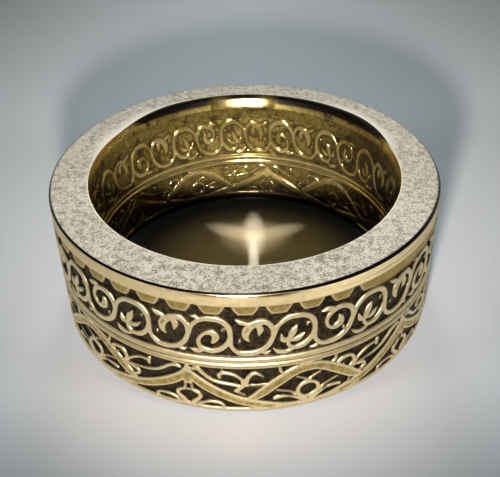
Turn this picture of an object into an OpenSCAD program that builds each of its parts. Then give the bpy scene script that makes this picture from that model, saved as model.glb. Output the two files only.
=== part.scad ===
// Coin ring: one thick coin opened and folded into a plain band. It lies on
// its lower edge, with the finger hole upright on the Z axis and the middle of
// the lower edge at the origin.

/* [Finger hole] */
// Diameter of the finger hole
bore_d = 19.6; // [15:0.1:23]
// Bevel round each mouth of the finger hole
mouth_bevel = 0.06; // [0.03:0.01:0.15]

/* [Band] */
// Width of the band, which is its height as it lies
band_w = 8.86; // [8:0.02:12]
// Thickness of the wall at the ground face on top
wall_t = 2.27; // [1.8:0.01:2.8]
// How far the polished bevel round the top stands out from the ground face
edge_out = 0.16; // [0.05:0.01:0.25]
// Height of that polished bevel
edge_h = 0.2; // [0.1:0.01:0.4]
// Bevel round the lower edge
foot_bevel = 0.12; // [0.05:0.01:0.2]
// How much wider the band is at its foot than at its rim, on the radius
flare = 0.03; // [0:0.01:0.08]

/* [Struck border] */
// Depth of the sunk ground behind the raised pattern
relief_d = 0.2; // [0.1:0.01:0.3]
// From the top down to the ends of the teeth under the plain rim
teeth_end = 1.45; // [1.2:0.01:1.9]
// Height of the teeth
tooth_h = 0.57; // [0.3:0.01:0.7]
// Number of notches between the teeth
notch_n = 43; // [30:1:60]
// Turn of the notches round the band, in degrees from the front
notch_turn = 3.44; // [-10:0.01:10]
// Width of a notch at its closed end
notch_root = 0.42; // [0.3:0.01:0.7]
// Width of a notch at its open end
notch_mouth = 0.8; // [0.5:0.01:1.1]

/* [Middle ridges] */
// From the top down to the upper ridge
ridge_start = 4.55; // [4:0.01:5.2]
// Height of each of the two ridges
ridge_h = 0.37; // [0.15:0.01:0.5]
// Width of the groove between the two ridges
groove_w = 0.12; // [0.08:0.01:0.2]
// Depth of the groove
groove_d = 0.12; // [0.05:0.01:0.2]

/* [Foot line] */
// Height of the plain line along the lower edge
foot_h = 0.3; // [0.2:0.01:0.5]

/* [Hidden] */
$fn = 180;

bore_r = bore_d / 2;
ground_r = bore_r + wall_t;             // outer edge of the ground face on top
rim_r = ground_r + edge_out;            // plain rim under the bevel
foot_r = rim_r + flare;                 // widest line, above the foot bevel
front = -90;                            // direction of the front, seen from above

// Radius of the raised pattern at a depth below the top
function face_r(depth) = rim_r + (foot_r - rim_r) * depth / band_w;
// A point of the section on the raised face, or sunk below it, at a depth below the top
function face_point(depth, sunk = 0) = [face_r(depth) - sunk, band_w - depth];

// Section of the wall, from the finger hole over the top and down the outside
module wall_section() {
    upper_ridge_end = ridge_start + ridge_h;
    lower_ridge = upper_ridge_end + groove_w;
    lower_ridge_end = lower_ridge + ridge_h;
    foot_line = band_w - foot_h;
    polygon([
        [bore_r, mouth_bevel],
        [bore_r, band_w - mouth_bevel],
        [bore_r + mouth_bevel, band_w],
        [ground_r, band_w],
        face_point(edge_h),
        face_point(teeth_end),
        face_point(teeth_end, relief_d),
        face_point(ridge_start, relief_d),
        face_point(ridge_start),
        face_point(upper_ridge_end),
        face_point(upper_ridge_end, groove_d),
        face_point(lower_ridge, groove_d),
        face_point(lower_ridge),
        face_point(lower_ridge_end),
        face_point(lower_ridge_end, relief_d),
        face_point(foot_line, relief_d),
        face_point(foot_line),
        face_point(band_w - foot_bevel),
        [foot_r - foot_bevel, 0],
        [bore_r + mouth_bevel, 0],
    ]);
}

// Cutter for one notch, wider at its open end, pointing out of the band along X
module notch() {
    past = 0.05;                        // the cutter runs this far into the sunk ground
    outside = 0.5;                      // and this far out of the face
    translate([rim_r - relief_d, 0, band_w - teeth_end])
        rotate([90, 0, 90])
            linear_extrude(relief_d + outside)
                polygon([
                    [-notch_mouth / 2, -past],
                    [notch_mouth / 2, -past],
                    [notch_root / 2, tooth_h],
                    [-notch_root / 2, tooth_h],
                ]);
}

module ring_band() {
    color("darkgoldenrod")
        difference() {
            rotate_extrude() wall_section();
            for (i = [0 : notch_n - 1])
                rotate([0, 0, front + notch_turn + i * 360 / notch_n])
                    notch();
        }
}

ring_band();
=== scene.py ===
import math

import bmesh
import bpy
import numpy as np
from mathutils import Matrix, Vector
from mathutils.geometry import delaunay_2d_cdt


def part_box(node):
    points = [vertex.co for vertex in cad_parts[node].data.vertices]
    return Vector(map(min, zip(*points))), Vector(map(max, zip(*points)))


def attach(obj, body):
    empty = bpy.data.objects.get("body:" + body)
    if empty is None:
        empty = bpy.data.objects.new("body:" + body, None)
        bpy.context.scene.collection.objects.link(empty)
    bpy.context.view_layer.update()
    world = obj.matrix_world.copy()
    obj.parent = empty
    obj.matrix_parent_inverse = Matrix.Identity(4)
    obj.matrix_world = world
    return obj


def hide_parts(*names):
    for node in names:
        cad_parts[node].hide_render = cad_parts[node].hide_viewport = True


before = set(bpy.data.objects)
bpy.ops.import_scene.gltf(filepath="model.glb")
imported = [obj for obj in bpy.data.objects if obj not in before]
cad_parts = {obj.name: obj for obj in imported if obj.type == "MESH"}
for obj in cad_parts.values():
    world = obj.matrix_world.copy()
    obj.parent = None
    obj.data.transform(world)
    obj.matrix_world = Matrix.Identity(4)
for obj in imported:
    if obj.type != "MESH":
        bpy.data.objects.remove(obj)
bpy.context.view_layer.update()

# Camera: close above the front of the ring, as a phone is held for such a shot,
# aimed a little above the middle of the ground face. All lengths here are in
# millimetres, and MM turns them into metres.
MM = 0.001
LOW, HIGH = (np.array(corner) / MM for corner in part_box("ring_band"))
BAND_W = HIGH[2] - LOW[2]
CAMERA_LENS = 53.9
CAMERA_SENSOR = 36.0
CAMERA_AWAY = 47.7
CAMERA_RISE = math.radians(31.53)
CAMERA_PAN = math.radians(-0.29)
CAMERA_TILT = math.radians(-5.39)
CAMERA_ROLL = math.radians(1.39)

from_ring = Vector((0, -math.cos(CAMERA_RISE), math.sin(CAMERA_RISE)))
forward = -from_ring
right = Vector((1, 0, 0))
up = right.cross(forward)
turn = Matrix.Rotation(CAMERA_PAN, 3, up) @ Matrix.Rotation(CAMERA_TILT, 3, right)
forward, right, up = turn @ forward, turn @ right, turn @ up
roll = Matrix.Rotation(CAMERA_ROLL, 3, forward)
right, up = roll @ right, roll @ up
pose = Matrix((right, up, -forward)).transposed().to_4x4()
pose.translation = (from_ring * CAMERA_AWAY + Vector((0, 0, BAND_W))) * MM

camera_data = bpy.data.cameras.new("camera")
camera_data.lens = CAMERA_LENS
camera_data.sensor_width = CAMERA_SENSOR
camera_data.clip_start = 0.001
camera_data.clip_end = 10.0
camera = bpy.data.objects.new("camera", camera_data)
camera.matrix_world = pose
bpy.context.collection.objects.link(camera)
bpy.context.scene.camera = camera

# Coin band: the whole ring, one coin opened in the middle and folded into a
# band. Its two struck faces are now the outside and the inside of the wall, and
# its edge, ground flat, is the face round the top.
BORE_R = 9.8            # finger hole, at the raised pattern
FOOT_R = HIGH[0]        # outside, at the foot
FLARE = 0.03            # the rim is this much smaller than the foot
RIM_R = FOOT_R - FLARE
RELIEF_OUT = 0.2        # depth of the sunk ground outside
RELIEF_IN = 0.14        # and inside, where folding pressed it flatter
TOOTH_DROP = 0.05       # the teeth stand this much lower than the plain rim

# Drawing sheet for one repeat of a struck border. Across is measured along the
# band and down from the ground face.
SHEET_STEP = 0.03
SHEET_REACH = 0.45      # how far round a line the sheet knows its distance
SHEET_FAR = -0.5        # and what it holds beyond that


def smooth_line(table, step=0.06, thinnest=0.02):
    """Points of a smooth line through rows of across, down and half width."""
    knots = np.array(table, float)
    ends = np.vstack([2 * knots[0] - knots[1], knots, 2 * knots[-1] - knots[-2]])
    rows = []
    for a, b, c, d in zip(ends[:-3], ends[1:-2], ends[2:-1], ends[3:]):
        count = max(2, int(np.hypot(*(c - b)[:2]) / step))
        t = np.linspace(0, 1, count, endpoint=False)[:, None]
        cubic = 3 * b - a - 3 * c + d
        rows.append(b + 0.5 * t * ((c - a) + t * ((2 * a - 5 * b + 4 * c - d) + t * cubic)))
    line = np.vstack(rows + [knots[-1:]])
    line[:, 2] = np.maximum(line[:, 2], thinnest)
    return line


class Sheet:
    """How deep each place of a border lies inside its raised lines, in mm."""

    def __init__(self, width, top, bottom):
        self.width = width
        self.cols = round(width / SHEET_STEP)
        self.step = width / self.cols
        self.rows = round((bottom - top) / self.step) + 1
        self.top = top
        self.bottom = top + (self.rows - 1) * self.step
        self.inside = np.full((self.rows, self.cols), SHEET_FAR)

    def draw(self, table, cut=False):
        """Raises a line, or cuts it out of what is raised."""
        line = smooth_line(table)
        for a, b in zip(line[:-1], line[1:]):
            reach = max(a[2], b[2]) + SHEET_REACH
            low = np.minimum(a, b)[:2] - reach - (0, self.top)
            high = np.maximum(a, b)[:2] + reach - (0, self.top)
            cols = np.arange(math.floor(low[0] / self.step), math.ceil(high[0] / self.step) + 1)
            first = max(0, math.floor(low[1] / self.step))
            last = min(self.rows, math.ceil(high[1] / self.step) + 1)
            if first >= last:
                continue
            rows = np.arange(first, last)[:, None]
            x = cols * self.step - a[0]
            y = rows * self.step + self.top - a[1]
            run = b - a
            t = np.clip((x * run[0] + y * run[1]) / (run[0] ** 2 + run[1] ** 2 + 1e-12), 0, 1)
            value = a[2] + run[2] * t - np.hypot(x - run[0] * t, y - run[1] * t)
            for start in range(0, len(cols), self.cols):
                part = slice(start, start + self.cols)
                place = np.ix_(rows[:, 0], cols[part] % self.cols)
                if cut:
                    self.inside[place] = np.minimum(self.inside[place], -value[:, part])
                else:
                    self.inside[place] = np.maximum(self.inside[place], value[:, part])

    def band(self, top=-math.inf, bottom=math.inf):
        """Raises a plain band right across the sheet, up or down to its edge if not told."""
        down = self.top + np.arange(self.rows)[:, None] * self.step
        self.inside = np.maximum(self.inside, np.minimum(down - top, bottom - down))

    def soften(self, passes):
        """Rounds the corners where lines meet, as a worn die does."""
        for _ in range(passes):
            wide = np.pad(self.inside, ((1, 1), (0, 0)), mode="edge")
            tall = (wide[:-2] + 2 * wide[1:-1] + wide[2:]) / 4
            self.inside = (np.roll(tall, 1, 1) + 2 * tall + np.roll(tall, -1, 1)) / 4


def placed(table, across, mirror=False):
    """A line moved along the sheet, and mirrored left to right if asked."""
    side = -1 if mirror else 1
    return [(across + side * x, y, w) for x, y, w in table]


# Border of teeth, hung under the plain rim: a plain band, with a notch cut
# between each two teeth. Rows are across, down and half width of the notch.
TEETH = 43
TOOTH_PITCH = round(2 * math.pi * RIM_R / TEETH, 3)
TOOTH_TOP = 0.86
TOOTH_END = 1.45
TEETH_BOTTOM = 1.56
NOTCH = [(0, 1.04, 0.2), (0, 1.16, 0.25), (0, 1.3, 0.31), (0, 1.5, 0.42), (0, 1.8, 0.6)]

teeth = Sheet(TOOTH_PITCH, TOOTH_TOP, TEETH_BOTTOM)
teeth.band(bottom=TOOTH_END)
teeth.draw(placed(NOTCH, TOOTH_PITCH / 2), cut=True)
teeth.soften(2)

# Upper band: a leaf scroll. Its stem runs over and under its curls in turn, and
# the curls end in a bud, a three-lobed leaf or a split leaf. Rows are across,
# down and half width, across from the curl's own middle.
CELL = 13.8             # one repeat of the two wide bands, at the front
REPEATS = 5
SCROLL_MIDDLE = 2.98
SCROLL_SLANT = 0.16
SCROLL_THIN = 0.88      # share of the half widths below that is drawn
SCROLL_SHIFT = 0.26     # keeps the curls clear of the ends of the sheet
STEM = [
    (-1.15, 2.98, 0.17), (-1.0, 2.3, 0.15), (-0.56, 1.84, 0.18), (0.0, 1.76, 0.2), (0.56, 1.9, 0.2),
    (0.98, 2.34, 0.19), (1.15, 2.98, 0.17),
]
BUD = [
    [(1.12, 2.9, 0.12), (1.04, 3.46, 0.17), (0.7, 3.92, 0.2), (0.16, 4.08, 0.19), (-0.34, 3.86, 0.17),
     (-0.54, 3.38, 0.14), (-0.34, 2.9, 0.13), (0.06, 2.74, 0.2), (0.36, 2.98, 0.25), (0.3, 3.36, 0.16),
     (0.16, 3.5, 0.03)],
    [(-0.1, 4.02, 0.08), (-0.5, 4.16, 0.19), (-1.0, 4.06, 0.03)],
    [(0.66, 2.36, 0.02), (0.66, 2.5, 0.1), (0.66, 2.64, 0.02)],
]
TREFOIL = [
    [(1.12, 2.9, 0.12), (1.02, 3.5, 0.17), (0.66, 3.94, 0.2), (0.14, 4.02, 0.17), (-0.2, 3.74, 0.13),
     (-0.24, 3.4, 0.11)],
    [(-0.22, 3.5, 0.06), (-0.56, 3.36, 0.19), (-0.74, 2.94, 0.03)],
    [(-0.24, 3.45, 0.09), (-0.12, 2.92, 0.24), (0.06, 2.44, 0.03)],
    [(-0.22, 3.5, 0.06), (0.26, 3.42, 0.18), (0.62, 3.06, 0.03)],
    [(0.3, 4.04, 0.06), (-0.2, 4.26, 0.14), (-0.66, 4.2, 0.16), (-1.04, 3.9, 0.03)],
    [(0.64, 2.36, 0.02), (0.64, 2.5, 0.1), (0.64, 2.64, 0.02)],
]
SPLIT_LEAF = [
    [(1.12, 2.9, 0.12), (1.0, 3.56, 0.17), (0.56, 4.0, 0.2), (0.02, 3.92, 0.24), (-0.34, 3.5, 0.28),
     (-0.34, 3.0, 0.2), (-0.06, 2.6, 0.03)],
    [(0.06, 3.86, 0.06), (0.36, 3.54, 0.22), (0.34, 3.0, 0.03)],
    [(-0.24, 3.9, 0.06), (-0.7, 4.0, 0.17), (-1.1, 4.22, 0.03)],
    [(-0.62, 2.52, 0.02), (-0.62, 2.66, 0.1), (-0.62, 2.8, 0.02)],
]
LEFT_SHOOT = [[(-0.66, 1.9, 0.05), (-0.92, 1.7, 0.12), (-1.24, 1.7, 0.03)]]
RIGHT_SHOOT = [[(0.6, 1.9, 0.05), (0.94, 1.74, 0.12), (1.2, 1.86, 0.03)]]
SCROLL = (
    BUD + LEFT_SHOOT, SPLIT_LEAF + RIGHT_SHOOT, TREFOIL,
    BUD + LEFT_SHOOT, TREFOIL, SPLIT_LEAF + RIGHT_SHOOT,
)
UPPER_RIDGE = 4.55      # upper edge of the upper ridge
SCROLL_BOTTOM = 4.72    # on the upper ridge, where the sheet ends

upper = Sheet(CELL, TEETH_BOTTOM, SCROLL_BOTTOM)
for i, curl in enumerate(SCROLL):
    for line in [STEM] + curl:
        if i % 2:
            line = [(x, 2 * SCROLL_MIDDLE - y, w) for x, y, w in line]
        line = [(x + SCROLL_SLANT * (SCROLL_MIDDLE - y), y, w * SCROLL_THIN) for x, y, w in line]
        upper.draw(placed(line, (i + 0.5) * CELL / len(SCROLL) + SCROLL_SHIFT))
upper.band(top=UPPER_RIDGE)
upper.soften(2)

# Lower band: pointed and round arches in turn, with leaf sprigs between them.
# Rows are across, down and half width, across from the arch's own middle.
POINTED_LEG = [
    (0.0, 5.4, 0.08), (0.08, 5.75, 0.14), (0.28, 6.18, 0.24), (0.66, 6.62, 0.33), (1.2, 7.02, 0.34),
    (1.95, 7.46, 0.33), (2.75, 7.86, 0.32), (3.6, 8.16, 0.30), (4.5, 8.38, 0.27), (5.6, 8.56, 0.2),
    (6.9, 8.66, 0.16),
]
POINTED_HEART = [(0.0, 5.9, 0.16), (0.0, 6.3, 0.32), (0.0, 6.58, 0.34)]
TREFOIL_SIDE = [
    (-0.19, 6.95, 0.08), (-0.21, 7.28, 0.09), (-0.36, 7.46, 0.11), (-0.60, 7.6, 0.12),
    (-0.68, 7.86, 0.13), (-0.5, 8.12, 0.13), (-0.3, 8.32, 0.14), (-0.1, 8.6, 0.12),
]
TREFOIL_BAR = [(0.0, 7.42, 0.08), (-0.34, 7.46, 0.08)]
TREFOIL_LOOP = [
    (-2.02, 8.6, 0.1), (-2.0, 8.36, 0.1), (-1.72, 8.2, 0.1), (-1.3, 8.17, 0.1),
    (-0.95, 8.25, 0.1), (-0.72, 8.40, 0.1), (-0.58, 8.62, 0.12),
]
TREFOIL_FOOT = [(-0.66, 8.7, 0.2), (0.0, 8.66, 0.2)]
ROUND_LEG = [
    (0.1, 5.74, 0.33), (-0.45, 5.79, 0.33), (-0.95, 5.98, 0.34), (-1.5, 6.36, 0.35),
    (-2.1, 6.82, 0.35), (-2.6, 7.26, 0.34), (-3.05, 7.62, 0.28), (-3.35, 7.78, 0.2),
]
FLOWER_SPOKE = [(-0.02, 6.98, 0.12), (-0.12, 6.74, 0.1), (-0.36, 6.58, 0.08), (-0.68, 6.4, 0.07)]
FLOWER_VEIN = [(-1.8, 7.26, 0.07), (-1.35, 7.4, 0.08), (-0.98, 7.56, 0.09), (-0.72, 7.82, 0.1)]
FLOWER_PETAL = [
    (-1.96, 7.9, 0.13), (-1.75, 7.82, 0.13), (-1.4, 7.82, 0.1), (-1.1, 7.9, 0.09),
    (-0.75, 8.06, 0.1), (-0.45, 8.24, 0.13), (-0.15, 8.42, 0.16),
]
CROWN_HOOK = [(-1.68, 5.44, 0.09), (-1.62, 5.74, 0.1), (-1.42, 5.93, 0.1), (-1.2, 5.86, 0.07)]
FLOWER_DOWN = 7.56
FLOWER_R = 0.62
FLOWER_HALF_W = 0.125
FLOWER_SQUASH = 0.93
FRONT_SPRIG = [
    [(0.36, 5.62, 0.12), (0.64, 5.6, 0.15), (0.90, 5.88, 0.13), (1.22, 6.2, 0.12),
     (1.6, 6.45, 0.11), (2.1, 6.58, 0.1), (2.55, 6.66, 0.1), (2.95, 6.78, 0.1)],
    [(1.86, 6.14, 0.09), (1.82, 5.92, 0.13), (2.02, 5.76, 0.13), (2.45, 5.8, 0.1), (2.85, 5.99, 0.1),
     (3.12, 6.3, 0.12), (3.16, 6.62, 0.15), (3.0, 6.9, 0.15), (2.72, 7.14, 0.11)],
    [(2.0, 5.5, 0.05), (2.0, 5.75, 0.1)],
    [(4.3, 6.1, 0.05), (4.15, 5.92, 0.09), (3.88, 5.76, 0.11), (3.58, 5.88, 0.13),
     (3.4, 6.2, 0.14), (3.3, 6.6, 0.15)],
    [(3.2, 6.72, 0.1), (3.6, 6.71, 0.09), (4.0, 6.72, 0.09), (4.4, 6.66, 0.09)],
    [(2.75, 7.15, 0.11), (2.98, 7.33, 0.08), (3.25, 7.5, 0.07)],
]
SIDE_SPRIG = [
    [(-0.44, 5.7, 0.1), (-0.70, 5.62, 0.13), (-1.08, 5.76, 0.12), (-1.5, 6.12, 0.12),
     (-2.0, 6.43, 0.11), (-2.6, 6.62, 0.1), (-3.3, 6.74, 0.09), (-3.95, 6.86, 0.1)],
    [(-2.36, 6.14, 0.08), (-2.38, 5.92, 0.12), (-2.32, 5.68, 0.12)],
    [(-2.45, 5.86, 0.1), (-2.9, 5.86, 0.1), (-3.35, 6.08, 0.1), (-3.75, 6.4, 0.1), (-4.05, 6.72, 0.11)],
    [(-4.68, 6.36, 0.06), (-4.94, 6.42, 0.09), (-5.08, 6.16, 0.12), (-4.82, 5.92, 0.13),
     (-4.38, 5.86, 0.13), (-4.08, 6.08, 0.12), (-4.0, 6.45, 0.11), (-4.18, 6.74, 0.1), (-4.5, 7.0, 0.09)],
    [(-4.0, 6.82, 0.1), (-3.62, 6.94, 0.1), (-3.28, 7.04, 0.12), (-3.18, 7.28, 0.12),
     (-3.42, 7.49, 0.11), (-3.8, 7.5, 0.08)],
    [(-4.02, 6.9, 0.08), (-4.06, 7.3, 0.07), (-4.12, 7.6, 0.07), (-4.3, 7.9, 0.06)],
]
LOWER_RIDGE_END = 5.4
ARCH_TOP = 5.2          # on the lower ridge, where the sheet starts
FOOT_LINE = 8.56
ARCH_BOTTOM = 8.72      # on the foot line, where it ends

lower = Sheet(CELL, ARCH_TOP, ARCH_BOTTOM)
crown = CELL / 2
for mirror in (False, True):
    for line in (POINTED_LEG, TREFOIL_SIDE, TREFOIL_BAR, TREFOIL_LOOP, TREFOIL_FOOT):
        lower.draw(placed(line, 0, mirror))
    for line in (ROUND_LEG, FLOWER_SPOKE, FLOWER_VEIN, FLOWER_PETAL, CROWN_HOOK):
        lower.draw(placed(line, crown, mirror))
lower.draw(POINTED_HEART)
for line in FRONT_SPRIG + SIDE_SPRIG:
    lower.draw(line)
flower_turns = np.linspace(0, 2 * math.pi, 25)
flower_across = crown + FLOWER_R * np.cos(flower_turns)
flower_down = FLOWER_DOWN + FLOWER_SQUASH * FLOWER_R * np.sin(flower_turns)
lower.draw([(x, y, FLOWER_HALF_W) for x, y in zip(flower_across, flower_down)])
lower.band(bottom=LOWER_RIDGE_END)
lower.band(top=FOOT_LINE)
lower.soften(2)

# Meshing of a sheet: the raised lines are outlined at a few heights of their
# flank, and a triangulation keeps the outlines as edges.
FLANK_OUT = ((-0.05, 0.0), (0.01, 0.7), (0.07, 1.0))    # mm inside the line, share of the relief
FLANK_IN = ((-0.04, 0.0), (0.02, 0.6), (0.09, 1.0))
COLUMNS = 50            # along the plain edges of a wide band's repeat
TOOTH_COLUMNS = 6
LINE_SLACK = 0.003
LINE_SPAN = 0.3


def outline_chains(values, level):
    """Chains of (column, row) points along one level of a grid, by marching squares."""
    rows, cols = values.shape
    over = values > level
    flat = over[:, :-1] != over[:, 1:]
    tall = over[:-1] != over[1:]
    flat_id = np.arange(rows * (cols - 1)).reshape(rows, cols - 1)
    tall_id = rows * (cols - 1) + np.arange((rows - 1) * cols).reshape(rows - 1, cols)
    crossed = np.stack([flat[:-1], flat[1:], tall[:, :-1], tall[:, 1:]], -1)
    ids = np.stack([flat_id[:-1], flat_id[1:], tall_id[:, :-1], tall_id[:, 1:]], -1)
    count = crossed.sum(-1)
    pairs = [np.sort(np.where(crossed, ids, -1)[count == 2], -1)[:, 2:]]
    saddle = ids[count == 4]
    pairs += [saddle[:, [0, 2]], saddle[:, [1, 3]]]
    pairs = np.vstack(pairs)

    r, c = np.nonzero(flat)
    share = (level - values[r, c]) / (values[r, c + 1] - values[r, c])
    places = dict(zip(flat_id[r, c].tolist(), zip((c + share).tolist(), r.tolist())))
    r, c = np.nonzero(tall)
    share = (level - values[r, c]) / (values[r + 1, c] - values[r, c])
    places.update(zip(tall_id[r, c].tolist(), zip(c.tolist(), (r + share).tolist())))

    joins = {}
    for a, b in pairs.tolist():
        joins.setdefault(a, []).append(b)
        joins.setdefault(b, []).append(a)
    loose_ends = [i for i, others in joins.items() if len(others) == 1]
    chains = []
    seen = set()
    for start in loose_ends + list(joins):
        if start in seen:
            continue
        chain = [start]
        seen.add(start)
        while True:
            ahead = [i for i in joins[chain[-1]] if i not in seen]
            if not ahead:
                break
            chain.append(ahead[0])
            seen.add(ahead[0])
        if len(joins[start]) == 2:
            chain.append(start)
        chains.append(np.array([places[i] for i in chain]))
    return chains


def thinned(chain):
    """Leaves out the points that a chain doesn't need for its shape."""
    keep = {0, len(chain) - 1}
    if np.allclose(chain[0], chain[-1]):
        keep.add(int(np.argmax(np.hypot(*(chain - chain[0]).T))))
    spans = list(zip(sorted(keep)[:-1], sorted(keep)[1:]))
    while spans:
        a, b = spans.pop()
        if b - a < 2:
            continue
        run = chain[b] - chain[a]
        length = math.hypot(*run)
        off = chain[a + 1:b] - chain[a]
        if length < 1e-9:
            gap = np.hypot(*off.T)
        else:
            gap = abs(off[:, 0] * run[1] - off[:, 1] * run[0]) / length
        worst = int(np.argmax(gap))
        if gap[worst] < LINE_SLACK:
            if length < LINE_SPAN:
                continue
            worst = (b - a) // 2 - 1
        keep.add(a + 1 + worst)
        spans += [(a, a + 1 + worst), (a + 1 + worst, b)]
    return chain[sorted(keep)]


def sheet_mesh(sheet, flank, columns, fill_step, fill_clear=0.07):
    """Points (across, down, height, inside) and triangles of one repeat of a sheet."""
    values = np.hstack([sheet.inside, sheet.inside[:, :1]])
    levels, heights = zip(*flank)
    points, edges, depths = [], [], []

    def add_chain(chain, inside):
        first = len(points)
        points.extend(chain.tolist())
        depths.extend(np.broadcast_to(inside, len(chain)).tolist())
        edges.extend((first + i, first + i + 1) for i in range(len(chain) - 1))

    def inside_at(spots):
        col = spots[:, 0] / sheet.step
        row = (spots[:, 1] - sheet.top) / sheet.step
        c = np.clip(col.astype(int), 0, sheet.cols - 1)
        r = np.clip(row.astype(int), 0, sheet.rows - 2)
        u, v = col - c, row - r
        return ((1 - u) * (1 - v) * values[r, c] + u * (1 - v) * values[r, c + 1]
                + (1 - u) * v * values[r + 1, c] + u * v * values[r + 1, c + 1])

    seam = [sheet.top, sheet.bottom]
    seam += np.arange(sheet.top + fill_step, sheet.bottom - fill_step / 2, fill_step).tolist()
    for level in levels:
        for chain in outline_chains(values, level):
            chain = np.round(thinned(chain * sheet.step + (0, sheet.top)), 5)
            if len(chain) < 4:
                continue
            add_chain(chain, level)
            seam += [y for x, y in (chain[0], chain[-1]) if x == 0 and y > sheet.top]
    seam = np.unique(np.round(seam, 5))
    down = np.column_stack([np.zeros(len(seam)), seam])
    add_chain(down, inside_at(down))
    add_chain(down + (sheet.width, 0), inside_at(down))
    across = np.linspace(0, sheet.width, columns + 1)
    for y in (sheet.top, sheet.bottom):
        spots = np.column_stack([across, np.full(len(across), y)])
        add_chain(spots, inside_at(spots))
    x, y = np.meshgrid(np.arange(fill_step / 2, sheet.width, fill_step),
                       np.arange(sheet.top + fill_step / 2, sheet.bottom, fill_step))
    x = x + fill_step / 4 * (2 * (np.arange(len(y)) % 2)[:, None] - 1)
    spots = np.column_stack([x.ravel(), y.ravel()])
    inside = inside_at(spots)
    clear = np.min(abs(inside[:, None] - levels), axis=1) > fill_clear
    clear &= abs(spots[:, 0] - sheet.width / 2) < sheet.width / 2 - fill_step / 3
    points.extend(spots[clear].tolist())
    depths.extend(inside[clear].tolist())

    result = delaunay_2d_cdt([Vector(p) for p in points], edges, [], 0, 1e-5, True)
    places = np.array([tuple(p) for p in result[0]])
    known = np.array([source[0] if source else -1 for source in result[3]])
    inside = np.where(known >= 0, np.array(depths)[known], inside_at(places))
    height = np.interp(inside, levels, heights)
    faces = np.array(result[2])
    one, two = places[faces[:, 1]] - places[faces[:, 0]], places[faces[:, 2]] - places[faces[:, 0]]
    area = one[:, 0] * two[:, 1] - one[:, 1] * two[:, 0]
    return np.column_stack([places, height, inside]), faces[abs(area) > 1e-8]


def rolled_out(mesh_of_one, width, repeats):
    """The repeats of a sheet side by side, joined, with its two plain edges in order."""
    points, faces = mesh_of_one
    count = len(points)
    shift = np.repeat(np.arange(repeats) * width, count)
    points = np.tile(points, (repeats, 1))
    points[:, 0] += shift
    faces = np.vstack([faces + k * count for k in range(repeats)])
    key = np.round(points[:, :2] * 1e5).astype(np.int64)
    key[:, 0] %= round(width * repeats * 1e5)
    _, first, same = np.unique(key, axis=0, return_index=True, return_inverse=True)
    points = points[first]
    faces = same.ravel()[faces]
    edges = []
    for down in (points[:, 1].min(), points[:, 1].max()):
        on = np.nonzero(abs(points[:, 1] - down) < 1e-4)[0]
        edges.append(on[np.argsort(points[on, 0])])
    return points, faces, edges


# Placing round the finger hole. The repeats of the wide bands are a little
# closer together at the front, where the coin was opened off its middle, and
# folding drew the borders of the inner face down.
ARCH_TURN = math.radians(-16.6)
ARCH_CLOSER = math.radians(5.8)
ARCH_CLOSEST = math.radians(18.0)
TEETH_TURN = math.radians(-0.75)
SWAY = 0.2              # the ridges dip this much at the sides
SWAY_START = 1.0        # and the dip starts this far down
SWAY_SPAN = BAND_W - 1.2
ROLL = 0.035            # the ridges are rounded by this much at their edges
UPPER_RIDGE_MIDDLE = 4.74
LOWER_RIDGE_MIDDLE = 5.21
RIDGE_HALF_W = 0.19
GROOVE_MIDDLE = 4.975
RIDGES_HALF_W = 0.5     # from the middle of the groove past both ridges
INNER_TURN = math.radians(-187)
INNER_ARCH_TURN = math.radians(-173.7)
INNER_DOWN = (          # down on the sheet, and down on the inner face
    (0.86, 0.86), (1.5, 1.55), (1.75, 1.95), (4.2, 4.5), (4.55, 4.85), (5.4, 5.65), (8.72, 8.3),
)


def arch_angle(across):
    """Direction round the ring of a place on a wide band, from the front to the right."""
    p = 2 * math.pi * across / (CELL * REPEATS)
    return p + ARCH_TURN - ARCH_CLOSER * (np.sin(p - ARCH_CLOSEST) + math.sin(ARCH_CLOSEST))


def teeth_angle(across):
    """The same, for a place on the border of teeth."""
    return 2 * math.pi * across / (TEETH * TOOTH_PITCH) + TEETH_TURN


def roll_of(down):
    """How far the rounded ridges fall back from their middles."""
    from_upper = abs(down - UPPER_RIDGE_MIDDLE) / RIDGE_HALF_W
    from_lower = abs(down - LOWER_RIDGE_MIDDLE) / RIDGE_HALF_W
    fall = 1e-6 + np.clip(np.minimum(from_upper, from_lower), 0, 1) ** 2
    return ROLL * fall * (abs(down - GROOVE_MIDDLE) < RIDGES_HALF_W)


def on_ring(radius, angle, down):
    """Places at a radius, a direction and a depth below the top."""
    return np.column_stack([radius * np.sin(angle), -radius * np.cos(angle), BAND_W - down])


def outside(down, height, angle):
    """Places on the outer face."""
    fade = np.clip(np.sin(math.pi * (down - SWAY_START) / SWAY_SPAN), 0, 1)
    sway = SWAY * np.sin(angle) ** 2 * fade
    radius = RIM_R + FLARE * down / BAND_W - RELIEF_OUT * (1 - height) - roll_of(down) * height
    radius = radius - TOOTH_DROP * height * (down < TEETH_BOTTOM)
    return on_ring(radius, angle, down + sway)


def inside(down, height, angle):
    """Places on the inner face."""
    radius = BORE_R + RELIEF_IN * (1 - height) + roll_of(down) * height
    return on_ring(radius, angle, np.interp(down, *zip(*INNER_DOWN)))


STRUCK, GROUND, FOOT = 0, 1, 2          # kinds of face


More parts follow.
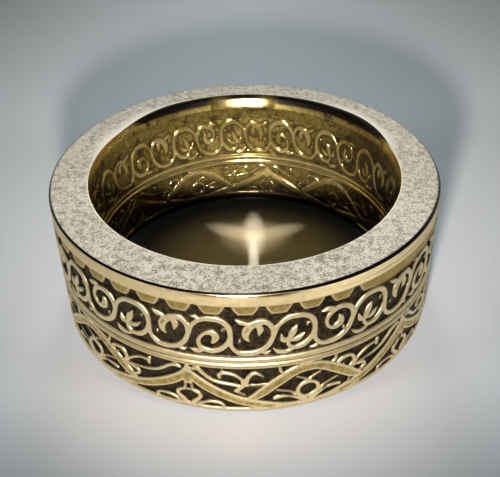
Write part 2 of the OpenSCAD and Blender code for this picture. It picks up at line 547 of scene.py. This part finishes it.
class Band:
    """The ring's points and faces while they are gathered, row after row.

    Each point carries four marks for its finish: height, from 0 on the sunk
    ground to 1 on the raised tops; depth inside a raised line, in mm, which
    paints a place black as a painted dark reflection where it is low enough;
    patina and shade, from 0 clean to 1 dark and browner above 1, holding real
    soot and also painted shade; and shine, from 0 as struck to 1 polished and
    satin below 0. True points are shaded along the radius.
    """

    def __init__(self):
        self.places, self.faces, self.kinds, self.marks, self.true = [], [], [], [], []
        self.count = 0

    def add(self, places, height, depth, patina_and_shade, shine, true=False):
        """Adds points with their marks, and gives their numbers."""
        ids = np.arange(self.count, self.count + len(places))
        ones = np.ones(len(places))
        self.places.append(places)
        self.marks.append(np.column_stack([mark * ones for mark in (height, depth, patina_and_shade, shine)]))
        self.true.append(true & (ones > 0))
        self.count += len(places)
        return ids

    def skin(self, faces, kind=STRUCK):
        """Adds faces between points that are there."""
        self.faces.append(np.array(faces))
        self.kinds.append(np.full(len(faces), kind))

    def stitch(self, one, other, kind=STRUCK):
        """Adds triangles between two rows of points that both run round the ring."""
        rows = []
        places = np.vstack(self.places)
        for row in (one, other):
            angle = np.arctan2(places[row, 0], -places[row, 1]) % (2 * math.pi)
            order = np.argsort(angle)
            row, angle = row[order], angle[order]
            rows.append((np.append(row, row[0]), np.append(angle, angle[0] + 2 * math.pi)))
        (a, a_angle), (b, b_angle) = rows
        i = j = 0
        faces = []
        while i < len(a) - 1 or j < len(b) - 1:
            if j == len(b) - 1 or (i < len(a) - 1 and a_angle[i + 1] <= b_angle[j + 1]):
                faces.append((a[i], a[i + 1], b[j]))
                i += 1
            else:
                faces.append((a[i], b[j + 1], b[j]))
                j += 1
        self.skin(faces, kind)

    def sheet(self, rolled, face, angle, patina_and_shade, shine, rise=1.0, bright=1.0):
        """Adds a rolled-out border, and gives its two plain edges.

        Its relief can be worn down to the share rise, and its lines stand out
        less from the ground as bright falls.
        """
        points, faces, edges = rolled
        down, height = points[:, 1], points[:, 2] * rise + 1 - rise
        flat = (height < 0.001) | ((height > 0.999) & (face is outside))
        ids = self.add(face(down, height, angle), height * bright, points[:, 3] * (2 - bright),
                       patina_and_shade, shine, (roll_of(down) == 0) & flat)
        self.skin(ids[faces])
        return [ids[edge] for edge in edges]

    def row(self, last, angle, radius, down, kind, height, depth, patina_and_shade, shine):
        """Adds a plain row round the ring, joined to the last one."""
        ones = np.ones(len(angle))
        ids = self.add(on_ring(radius * ones, angle, down * ones), height, depth, patina_and_shade, shine)
        self.stitch(last, ids, kind)
        return ids


# Struck borders, outside and inside. Wear and handling rubbed the outer teeth off
# on the right, and the inner ones nearly everywhere. The inner face is painted
# darker at the sides as painted shade, and darker low down, partly soot and partly
# painted shade, leaving its back clean.
FILL_OUT = 0.22         # spacing of the loose points between the outlines
FILL_IN = 0.3
TEETH_FILL = 0.2
CLEAR_IN = 0.1          # and how far inside they stay clear of the outlines

outer_teeth = rolled_out(sheet_mesh(teeth, FLANK_OUT, TOOTH_COLUMNS, TEETH_FILL), teeth.width, TEETH)
outer_upper = rolled_out(sheet_mesh(upper, FLANK_OUT, COLUMNS, FILL_OUT), CELL, REPEATS)
outer_lower = rolled_out(sheet_mesh(lower, FLANK_OUT, COLUMNS, FILL_OUT), CELL, REPEATS)
inner_teeth = rolled_out(sheet_mesh(teeth, FLANK_IN, TOOTH_COLUMNS, FILL_IN), teeth.width, TEETH)
inner_upper = rolled_out(sheet_mesh(upper, FLANK_IN, COLUMNS, FILL_IN, CLEAR_IN), CELL, REPEATS)
inner_lower = rolled_out(sheet_mesh(lower, FLANK_IN, COLUMNS, FILL_IN, CLEAR_IN), CELL, REPEATS)

band = Band()
out_angle = teeth_angle(outer_teeth[0][:, 0])
rubbed = np.clip((np.sin(out_angle) - 0.46) / 0.12, 0, 1)
out_teeth = band.sheet(
    outer_teeth, outside, out_angle,
    patina_and_shade=1.22 + 0.45 * np.sin(out_angle) ** 2 + 0.5 * rubbed, shine=0.0, rise=1 - 0.85 * rubbed,
)
out_upper = band.sheet(outer_upper, outside, arch_angle(outer_upper[0][:, 0]), patina_and_shade=1.0, shine=0.0)
out_lower = band.sheet(outer_lower, outside, arch_angle(outer_lower[0][:, 0]), patina_and_shade=1.0, shine=0.0)
in_angle = teeth_angle(inner_teeth[0][:, 0])
# Painted shade: the inner teeth are darker everywhere but at the back.
in_teeth = band.sheet(
    inner_teeth, inside, in_angle,
    patina_and_shade=np.clip(1.4 + 1.6 * np.cos(in_angle) + 0.3 * np.sin(in_angle), 0.3, 0.9), shine=0.0,
    rise=0.3, bright=0.3,
)
# Painted shade: the inner scroll is darker towards the sides, most on the right.
upper_angle = arch_angle(inner_upper[0][:, 0]) + INNER_TURN
upper_aside = np.sin(upper_angle)
in_upper = band.sheet(
    inner_upper, inside, upper_angle,
    patina_and_shade=0.15 + 0.55 * upper_aside ** 2 + 0.45 * np.clip(upper_aside, 0, 1), shine=0.0,
)
# Darker low down, partly soot and partly painted shade, and painted shade towards the sides.
lower_angle = arch_angle(inner_lower[0][:, 0]) + INNER_ARCH_TURN
foot_soot_and_shade = np.interp(inner_lower[0][:, 1], (7.0, 8.3), (0.2, 0.9))
in_lower = band.sheet(
    inner_lower, inside, lower_angle,
    patina_and_shade=np.clip(foot_soot_and_shade + 0.85 * np.sin(lower_angle) ** 2, 0, 1), shine=0.3,
)
band.stitch(out_teeth[1], out_upper[0])
band.stitch(in_teeth[1], in_upper[0])

# Groove rolled between the two ridges, on both faces.
GROOVE_ROWS = ((4.88, 1.0), (4.93, 0.55), (5.02, 0.55), (5.07, 1.0))    # down, height
wide_angle = arch_angle(np.arange(COLUMNS * REPEATS) * CELL / COLUMNS)
for face, start, end, patina_and_shade, shine, turned in (
    (outside, out_upper[1], out_lower[0], 0.9, 0.1, 0.0),
    (inside, in_upper[1], in_lower[0], 0.3, 0.6, INNER_TURN),
):
    lanes = [start]
    angle = wide_angle + turned
    ones = np.ones(len(angle))
    for down, height in GROOVE_ROWS:
        groove = face(down * ones, height * ones, angle)
        lanes.append(band.add(groove, height, 0.1 * height, patina_and_shade, shine))
    for a, b in zip(lanes, lanes[1:] + [end]):
        band.stitch(a, b)

# Rim: the coin's plain edge line, with a brown line under it where the teeth
# begin. Its right side is rubbed to a satin, and there its shine is below 0.
SATIN = 0.5
column_angle = teeth_angle(np.arange(TEETH * TOOTH_COLUMNS) * TOOTH_PITCH / TOOTH_COLUMNS)
to_front, to_right = np.cos(column_angle), np.sin(column_angle)
satin = SATIN * np.clip((to_right - 0.15) / 0.3, 0, 1)
lane = out_teeth[0]
for down, drop, depth, patina_and_shade in (
    (0.83, 0.035, -1.15, 1.8), (0.78, 0.004, 0.05, 0.4), (0.74, 0.0, 0.05, 0.0), (0.48, 0.0, 0.05, 0.0),
):
    lane = band.row(lane, column_angle, RIM_R - drop, down, STRUCK, 1.0, depth, patina_and_shade, -satin)

# Bevel between the rim and the ground face: the corner that grinding left,
# rounder at the front, where it is polished. Its upper half is painted black, a
# painted dark reflection, and the black stops short at one spot, under the
# lamp's highlight. Out and down are shares of the bevel's size.
BLACK = -2.0            # a depth mark as low as this is painted black
bevel_r = 0.22 + 0.09 * np.clip(np.cos(column_angle - math.radians(45)), 0, 1) ** 4
front_round = np.clip((to_front - 0.965) / 0.03, 0, 1)
front_polish = np.clip((to_front - 0.88) / 0.1, 0, 1)
spot = np.exp((np.cos(column_angle + math.radians(2)) - 1) / 0.0012)
for front_out, side_out, down, height, depth in (
    (0.0, 0.0, 1.7, 1.0, 0.2), (0.01, 0.005, 1.4, 1.0, 0.2), (0.04, 0.015, 1.12, 1.0, 0.2),
    (0.09, 0.03, 0.9, 1.0, 0.2), (0.17, 0.055, 0.7, 1.0, 0.2), (0.27, 0.1, 0.51, 1.0, 0.2),
    (0.33, 0.15, 0.41, 1.0, 0.2), (0.38, 0.22, 0.33, 0.2, BLACK + 0.1), (0.5, 0.4, 0.18, 0.0, BLACK),
    (0.66, 0.62, 0.06, 0.0, BLACK), (0.76, 0.76, 0.0, 0.1, BLACK / 2),
):
    out = side_out + (front_out - side_out) * front_round
    polished = np.minimum(1.0, out * 6) * front_polish * (1 - satin / SATIN) - satin
    ground_out = RIM_R - bevel_r * out
    lane = band.row(lane, column_angle, ground_out, bevel_r * down, STRUCK, height,
                    np.maximum(depth, 0.2 - 2.2 * (1 - spot)), 1.0 - height, polished)

# Ground face: the coin's edge ground flat round the top, darker at the front
# under painted shade. Its inner edge is paler, a painted highlight, most of all
# behind the two sides. Here the patina mark is the painted shade, and depth says
# how far a place belongs to the painted highlight.
at_back = np.clip((-np.cos(column_angle + math.radians(10)) - 0.3) / 0.5, 0, 1)
at_back = at_back ** 2 * (3 - 2 * at_back)
lip_out = 0.05 + 0.6 * at_back
ground_in = BORE_R + lip_out
# Painted shade: darkest at the front, fading to the sides and less on the right.
painted_front_shade = np.clip(np.clip(to_front, 0, 1) ** 2 - 0.25 * to_right, 0, 1)
# Painted highlight on the inner edge, paler behind the two sides.
pale = np.clip(-to_front / 0.35, 0, 1) * np.clip((1 + to_front) / 0.25, 0, 1)
for share, edge in (
    (0.06, 0.0), (0.3, 0.0), (0.55, 0.2 * pale), (0.8, 0.65 * pale), (0.92, 0.85 * pale),
    (1.0, 0.65 + 0.35 * pale),
):
    radius = ground_out + (ground_in - ground_out) * share
    lane = band.row(lane, column_angle, radius, 0.0, GROUND, 1.0, edge, painted_front_shade, 1.0)

# Lip of the finger hole: narrow in front and wide at the back, where it is
# polished. To each side of the middle of the back it is painted black, a painted
# dark reflection.
lip_down = 0.3 + 0.45 * at_back
lip_painted_dark = np.clip((to_front + 0.998) / 0.035, 0, 1) * np.clip(at_back * 2, 0, 1)
for out, down, shade in (
    (0.72, 0.02, 1.0), (0.46, 0.06, 1.0), (0.37, 0.14, 1.0), (0.31, 0.28, 1.0), (0.24, 0.45, 0.95),
    (0.17, 0.62, 0.7), (0.1, 0.79, 0.45), (0.03, 1.0, 0.4),
):
    lane = band.row(lane, column_angle, BORE_R + lip_out * out, lip_down * down, STRUCK, 1.0 - lip_painted_dark,
                    0.2 - 1.9 * lip_painted_dark * shade, 0.9 * lip_painted_dark * shade, 1.0 - lip_painted_dark)
band.stitch(lane, in_teeth[0])

# Foot: the coin's other edge, which the ring lies on, flat between two bevels.
lane = in_lower[1]
# The inner bevels are dark, partly soot and partly painted shade.
for radius, down, height, kind in (
    (BORE_R, 8.62, 0.0, STRUCK), (BORE_R + 0.02, 8.74, 0.0, STRUCK), (BORE_R + 0.08, 8.83, 0.0, STRUCK),
    (BORE_R + 0.15, BAND_W, 0.3, STRUCK), (10.7, BAND_W, 1.0, FOOT), (11.5, BAND_W, 1.0, FOOT),
    (FOOT_R - 0.13, BAND_W, 1.0, FOOT), (FOOT_R - 0.06, BAND_W - 0.03, 1.0, STRUCK),
    (FOOT_R, BAND_W - 0.1, 1.0, STRUCK),
):
    lane = band.row(lane, wide_angle, radius, down, kind, height, 0.2, 1.0 - 0.7 * height, 0.3 * height)
band.stitch(lane, out_lower[1])

mesh = bpy.data.meshes.new("coin_band")
places = np.vstack(band.places)
kinds = np.concatenate(band.kinds)
mesh.from_pydata((places * MM).tolist(), [], np.vstack(band.faces).tolist())
shell = bmesh.new()
shell.from_mesh(mesh)
bmesh.ops.recalc_face_normals(shell, faces=shell.faces)
shell.to_mesh(mesh)
shell.free()
mesh.polygons.foreach_set("material_index", (kinds == GROUND).astype("i4"))
mesh.polygons.foreach_set("use_smooth", [True] * len(mesh.polygons))
WALL_MIDDLE_R = 11      # parts the inner face from the outer one
on_inner_face = np.hypot(places[:, 0], places[:, 1]) < WALL_MIDDLE_R
marks = np.column_stack([np.vstack(band.marks), on_inner_face])
for name, values in zip(("height", "depth", "patina_and_shade", "shine", "within"), marks.T):
    mesh.attributes.new(name, "FLOAT", "POINT").data.foreach_set("value", values.astype("f4"))

# Shading normals: the ground face and the foot are flat, the tops of the raised
# lines and the sunk ground run true round the ring, and only their flanks turn.
faces = np.empty(len(mesh.loops), "i4")
mesh.loops.foreach_get("vertex_index", faces)
faces = faces.reshape(-1, 3)
one_side = places[faces[:, 1]] - places[faces[:, 0]]
other_side = places[faces[:, 2]] - places[faces[:, 0]]
facing = np.cross(one_side, other_side)
normals = np.zeros_like(places)
for corner in range(3):
    np.add.at(normals, faces[kinds != GROUND, corner], facing[kinds != GROUND])
true = np.concatenate(band.true)
outwards = places * (1, 1, 0) * np.where(on_inner_face, -1, 1)[:, None]
normals[true] = outwards[true]
normals /= np.maximum(np.linalg.norm(normals, axis=1), 1e-12)[:, None]
corner_normals = normals[faces]
corner_normals[kinds == GROUND] = (0, 0, 1)
corner_normals[kinds == FOOT] = (0, 0, -1)
mesh.normals_split_custom_set(corner_normals.reshape(-1, 3).tolist())
coin_band = bpy.data.objects.new("coin_band", mesh)
bpy.context.collection.objects.link(coin_band)


class Value:
    """A shader socket that can be used in sums."""

    def __init__(self, tree, socket):
        self.tree = tree
        self.socket = socket

    def _math(self, operation, *terms):
        node = self.tree.nodes.new("ShaderNodeMath")
        node.operation = operation
        for slot, term in zip(node.inputs, terms):
            if isinstance(term, Value):
                self.tree.links.new(term.socket, slot)
            else:
                slot.default_value = term
        return Value(self.tree, node.outputs[0])

    def __add__(self, other):
        return self._math("ADD", self, other)

    __radd__ = __add__

    def __mul__(self, other):
        return self._math("MULTIPLY", self, other)

    __rmul__ = __mul__

    def __sub__(self, other):
        return self._math("SUBTRACT", self, other)

    def __rsub__(self, other):
        return self._math("SUBTRACT", other, self)


class Finish:
    """The nodes of one material, of the room or of a lamp."""

    def __init__(self, name=None, tree=None):
        if tree is None:
            self.material = bpy.data.materials.new(name)
            self.material.use_nodes = True
            tree = self.material.node_tree
            self.shader = tree.nodes["Principled BSDF"]
        self.tree = tree

    def node(self, kind, settings=None, output=0, **sockets):
        """Adds a node, sets it up, and gives one of its outputs."""
        made = self.tree.nodes.new(kind)
        for key, value in (settings or {}).items():
            setattr(made, key, value)
        for key, value in sockets.items():
            self.feed(made.inputs[key.replace("_", " ")], value)
        return Value(self.tree, made.outputs[output])

    def feed(self, slot, value):
        """Links a value to a socket, or sets it there."""
        if isinstance(value, Value):
            self.tree.links.new(value.socket, slot)
        else:
            slot.default_value = value

    def attribute(self, name):
        """One of the marks that the points carry."""
        return self.node("ShaderNodeAttribute", {"attribute_name": name}, output=2)

    def mix(self, share, first, second):
        """Colour between two colours."""
        made = self.tree.nodes.new("ShaderNodeMix")
        made.data_type = "RGBA"
        self.feed(made.inputs[0], share)
        self.feed(made.inputs[6], first if isinstance(first, Value) else (*first, 1))
        self.feed(made.inputs[7], second if isinstance(second, Value) else (*second, 1))
        return Value(self.tree, made.outputs[2])

    def between(self, value, low, high):
        """0 below low, 1 above high, and a smooth step between."""
        return self.node("ShaderNodeMapRange", {"interpolation_type": "SMOOTHSTEP"},
                         Value=value, From_Min=low, From_Max=high)

    def noise(self, size_mm, detail=2.0, rough=0.5):
        """Even noise whose spots are about this size."""
        where = self.node("ShaderNodeTexCoord", output=3)
        return self.node("ShaderNodeTexNoise", Vector=where, Scale=1000.0 / size_mm,
                         Detail=detail, Roughness=rough)

    def wear(self, **sockets):
        """Sets the shader's own sockets."""
        for key, value in sockets.items():
            self.feed(self.shader.inputs[key.replace("_", " ")], value)


# Struck metal: brass, paler along the edges of its raised lines, a painted
# highlight, and mottled olive in their middles, with soot in the sunk ground. The
# inner face is darker gold, smoother in its ground, with a dark outline painted
# round its lines as painted shade.
PAINTED_EDGE_HIGHLIGHT = (0.88, 0.73, 0.42)
MIDDLE = ((0.58, 0.44, 0.15), (0.36, 0.26, 0.075))          # clean and mottled
CLEAN = (0.87, 0.71, 0.39)
BROWNED = (0.5, 0.33, 0.07)
SATIN_BRASS = (0.83, 0.74, 0.46)
POLISHED_OUT = (0.97, 0.80, 0.46)
POLISHED_IN = (0.78, 0.58, 0.24)
INNER_GOLD = ((0.72, 0.58, 0.23), (0.5, 0.37, 0.11))
INNER_GROUND = ((0.56, 0.43, 0.115), (0.24, 0.165, 0.035))
SOOT_AND_SHADE = ((0.02, 0.015, 0.009), (0.09, 0.064, 0.028))
OUTLINE_SHADE = (0.065, 0.043, 0.014)
PAINTED_BLACK = (0.006, 0.004, 0.002)

struck = Finish("struck_bronze")
height = struck.attribute("height")
depth = struck.attribute("depth")
patina_and_shade = struck.attribute("patina_and_shade")
shine = struck.attribute("shine")
within = struck.attribute("within")
mottle = struck.between(struck.noise(0.3, 4.0, 0.62), 0.42, 0.6)
broad = struck.between(struck.noise(2.4, 2.0, 0.5), 0.42, 0.66)
stain = struck.between(struck.noise(1.0, 3.0, 0.6), 0.52, 0.64)
top = struck.between(height, 0.45, 0.95)
polish = shine * top

# Paler edges on the raised lines: a painted highlight.
gold = struck.mix(struck.between(depth, 0.09, 0.22), PAINTED_EDGE_HIGHLIGHT, struck.mix(mottle, *MIDDLE))
gold = struck.mix(patina_and_shade, CLEAN, gold)
gold = struck.mix(patina_and_shade - 1.0, gold, BROWNED)
gold = struck.mix(shine * -1.4, gold, SATIN_BRASS)
gold = struck.mix(shine, gold, struck.mix(within, POLISHED_OUT, POLISHED_IN))
gold = struck.mix(within * (1.0 - shine), gold, struck.mix(broad, *INNER_GOLD))
# Soot in the sunk ground; inside it also serves as painted shade at the sides and low down.
soot_and_shade = struck.mix(mottle * 0.7 + broad * 0.3, *SOOT_AND_SHADE)
lining = struck.mix(mottle * 0.6 + broad * 0.4, *INNER_GROUND)
sunk = struck.mix(patina_and_shade + within * stain * 0.5, lining, soot_and_shade)
worn = struck.mix(top * (1.0 - within * patina_and_shade * 0.5), sunk, gold)
# Inside, a dark outline is painted round the foot of each raised line: painted shade in that crease.
from_line = struck.node("ShaderNodeMath", {"operation": "ABSOLUTE"}, Value=depth + 0.06)
outline_shade = within * (1.0 - shine) * (1.0 - struck.between(from_line, 0.015, 0.05))
worn = struck.mix(outline_shade * 0.8, worn, OUTLINE_SHADE)
# Painted black: the dark reflection painted on the bevel and on the lip beside its highlight.
worn = struck.mix(struck.between(depth, BLACK + 0.3, BLACK + 1.2), PAINTED_BLACK, worn)

rough = 0.46 + mottle * 0.08 - top * patina_and_shade * 0.08
rough = rough + within * (0.42 - struck.between(height, 0.0, 0.35) * 0.28 - rough)
rough = rough + polish * (0.11 + within * 0.03 - rough)
metal = 1.0 - (1.0 - polish) * (0.12 + within * 0.18)
grain = struck.noise(0.06, 3.0, 0.6)
struck.wear(
    Base_Color=worn, Metallic=metal, Roughness=rough,
    Normal=struck.node("ShaderNodeBump", Height=grain, Strength=0.25, Distance=0.00002),
)

# Ground face: bare metal cut by a coarse stone, so it is matt, pale and speckled,
# with a few pits. Its inner edge carries a painted highlight, and its front painted shade.
SPECKS = ((0.27, 0.26, 0.195), (0.15, 0.142, 0.095))        # plain, and under the painted shade
STONE_CUT = ((0.62, 0.61, 0.515), (0.455, 0.445, 0.37))
PIT = (0.2, 0.16, 0.11)
INNER_EDGE_HIGHLIGHT = (0.78, 0.765, 0.67)

ground = Finish("ground_face")
fine = ground.noise(0.12, 2.0, 0.5)
blotch = ground.noise(0.42, 3.0, 0.55)
coarse = ground.noise(1.6, 2.0, 0.5)
speckle = ground.between(fine * 0.5 + blotch * 0.4 + coarse * 0.1, 0.39, 0.58)
pits = ground.between(ground.noise(0.6, 1.0), 0.7, 0.76)
front_shade = ground.attribute("patina_and_shade")
cut = ground.mix(speckle, ground.mix(front_shade, *SPECKS), ground.mix(front_shade, *STONE_CUT))
cut = ground.mix(pits * 0.7, cut, PIT)
cut = ground.mix(ground.between(ground.attribute("depth"), 0.2, 1.0), cut, INNER_EDGE_HIGHLIGHT)
ground.wear(
    Base_Color=cut, Diffuse_Roughness=1.0, Roughness=0.6 + coarse * 0.2,
    Normal=ground.node("ShaderNodeBump", Height=fine, Strength=0.7, Distance=0.00003),
)

mesh.materials.append(struck.material)
mesh.materials.append(ground.material)
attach(coin_band, "root")
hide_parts("ring_band")

# Floor: a plain pale sheet of matt paper, wide enough to fill every view. It
# lies just below the ring's foot.
FLOOR_HALF = 2000.0
FLOOR_GAP = 0.01
floor_mesh = bpy.data.meshes.new("floor")
signs = ((-1, -1), (1, -1), (1, 1), (-1, 1))
floor_corners = [(x * FLOOR_HALF * MM, y * FLOOR_HALF * MM, -FLOOR_GAP * MM) for x, y in signs]
floor_mesh.from_pydata(floor_corners, [], [(0, 1, 2, 3)])
floor = bpy.data.objects.new("floor", floor_mesh)
bpy.context.collection.objects.link(floor)
paper = Finish("pale_floor")
paper.wear(Base_Color=(0.58, 0.58, 0.58, 1), Roughness=0.8, Specular_IOR_Level=0.3)
floor_mesh.materials.append(paper.material)

# Lamp: a small one beside the camera, which lights the ring and casts its
# shadow backwards. Its light falls off more gently than a bare bulb's.
LAMP_AT = (-3.0, -43.0, 22.0)
LAMP_AIM = (0.5, 0, 7)
LAMP_SIZE = 4.0
LAMP_SQUASH = 0.73      # the beam is this much lower than it is wide
LAMP_WATTS = 0.121
LAMP_EVEN = 0.034       # distance at which it gives what a plain lamp would, in m
lamp_data = bpy.data.lights.new("lamp", "SPOT")
lamp_data.spot_size = math.radians(72)
lamp_data.spot_blend = 1.0
lamp_data.shadow_soft_size = LAMP_SIZE / 2 * MM
lamp_data.energy = LAMP_WATTS
lamp_data.color = (1.0, 0.93, 0.89)
lamp_data.use_nodes = True
lamp_nodes = Finish(tree=lamp_data.node_tree)
glow = lamp_data.node_tree.nodes["Emission"]
lamp_nodes.feed(glow.inputs["Strength"],
                lamp_nodes.node("ShaderNodeLightFalloff", output=1, Strength=1 / LAMP_EVEN))
lamp = bpy.data.objects.new("lamp", lamp_data)
lamp.location = Vector(LAMP_AT) * MM
lamp.rotation_euler = (Vector(LAMP_AIM) * MM - lamp.location).to_track_quat("-Z", "Y").to_euler()
lamp.scale = (1, LAMP_SQUASH, 1)
lamp.visible_camera = False
bpy.context.collection.objects.link(lamp)

# Windows: three wide soft lights low round the ring, behind it and to each side.
# They light only the floor, so the ring keeps its hard contrast.
WINDOW_TURNS = (0, 110, -110)           # from the back, in degrees
WINDOW_WATTS = 0.46
WINDOW_AWAY = 150.0
WINDOW_SIZE = 50.0
WINDOW_REACH = 50.0     # where its light ends, to each side of its middle
WINDOW_RISE = math.radians(18)
floor_only = bpy.data.collections.new("lit_by_window")
floor_only.objects.link(floor)
for window_turn in WINDOW_TURNS:
    window_data = bpy.data.lights.new("window", "SPOT")
    window_data.energy = WINDOW_WATTS
    window_data.shadow_soft_size = WINDOW_SIZE / 2 * MM
    window_data.spot_size = 2 * math.atan(WINDOW_REACH / WINDOW_AWAY)
    window_data.spot_blend = 1.0
    window_data.color = (0.86, 1.0, 1.07)
    window = bpy.data.objects.new("window", window_data)
    bearing = math.radians(window_turn)
    level_part = math.cos(WINDOW_RISE)
    window.location = Vector((
        math.sin(bearing) * level_part, math.cos(bearing) * level_part, math.sin(WINDOW_RISE),
    )) * WINDOW_AWAY * MM
    window.rotation_euler = (-window.location).to_track_quat("-Z", "Y").to_euler()
    window.light_linking.receiver_collection = floor_only
    bpy.context.collection.objects.link(window)

# Light that the polished wall throws on the floor: a star in the finger hole and
# a faint patch in front. Rows are x, y, half length, half width, turn, watts, blue.
THROWN_FROM = 60.0
for x, y, half_long, half_wide, thrown_turn, watts, blue in (
    (0.6, 4.8, 3.4, 1.0, 90, 0.12, 0.64),
    (0.5, 0.7, 4.6, 0.5, 90, 0.15, 0.66),
    (-0.9, 5.2, 2.6, 1.0, -27, 0.08, 0.5),
    (2.3, 5.1, 2.6, 1.0, 20, 0.065, 0.5),
    (0.6, 4.6, 3.0, 2.6, 0, 0.05, 0.4),
    (0.4, 1.4, 8.8, 7.5, 0, 0.017, 0.2),
    (-0.5, -13.8, 2.2, 2.2, 90, 0.014, 0.4),
    (-1.0, -10.5, 14.0, 7.0, 0, 0.016, 0.2),
):
    thrown_data = bpy.data.lights.new("thrown_light", "SPOT")
    thrown_data.energy = watts
    thrown_data.color = (1.0, 0.62 + 0.38 * blue, blue)
    thrown_data.shadow_soft_size = 0.0
    thrown_data.spot_size = 2 * math.atan(half_long / THROWN_FROM)
    thrown_data.spot_blend = 1.0
    thrown = bpy.data.objects.new("thrown_light", thrown_data)
    thrown.location = Vector((x, y, THROWN_FROM)) * MM
    thrown.rotation_euler = (0, 0, math.radians(thrown_turn))
    thrown.scale = (1, half_wide / half_long, 1)
    thrown.light_linking.receiver_collection = floor_only
    bpy.context.collection.objects.link(thrown)

# Room: bright low down behind the ring, which is what its polished lip mirrors,
# and dark overhead and behind the camera.
ROOM_BRIGHT = (3.6, 4.1, 4.3)
ROOM_DARK = (0.02, 0.019, 0.016)
world = bpy.data.worlds.new("room")
world.use_nodes = True
room = Finish(tree=world.node_tree)
way = room.node("ShaderNodeTexCoord")
behind = room.between(room.node("ShaderNodeSeparateXYZ", output=1, Vector=way), 0.3, 0.9)
low = 1.0 - room.between(room.node("ShaderNodeSeparateXYZ", output=2, Vector=way), 0.1, 0.45)
backdrop = world.node_tree.nodes["Background"]
room.feed(backdrop.inputs["Color"], room.mix(low * behind, ROOM_DARK, ROOM_BRIGHT))
bpy.context.scene.world = world
bpy.context.scene.cycles.blur_glossy = 0.0
bpy.context.scene.cycles.diffuse_bounces = 0
bpy.context.scene.view_settings.view_transform = "Standard"
